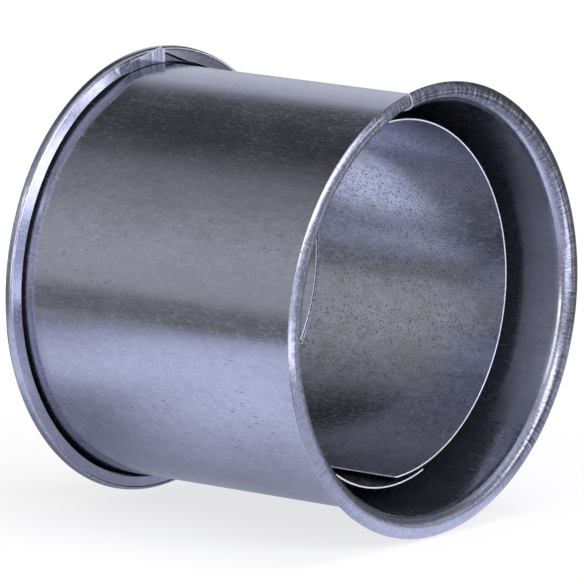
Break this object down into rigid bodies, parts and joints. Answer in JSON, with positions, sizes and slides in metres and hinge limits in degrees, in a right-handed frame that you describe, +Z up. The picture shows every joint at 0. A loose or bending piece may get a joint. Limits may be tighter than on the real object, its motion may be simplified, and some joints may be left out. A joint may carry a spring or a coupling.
{
  "type": "wall sleeve",
  "caption": "Double-wall sheet-steel sleeve that carries a flue pipe through a chimney wall, with a flared lip, a hemmed back ring and a springy inner sleeve.",
  "frame": {"origin": "on the axis of the flue's bore, halfway between the front of the lip and the back of the closing ring", "axes": "the flue runs along Y, the mouth in the room faces -Y, the chimney is at +Y, +Z is up as in the wall"},
  "size_m": [0.155, 0.125, 0.155],
  "materials": {
    "tube_sheet": "zinc coated, drawn grain, worn",
    "sleeve_sheet": "zinc coated, drawn grain, pitted",
    "ring_sheet": "zinc coated, bright"
  },
  "bodies": {
    "root": {"outer_tube": "tube_sheet", "inner_sleeve": "sleeve_sheet", "closing_ring": "ring_sheet"}
  },
  "joints": []
}
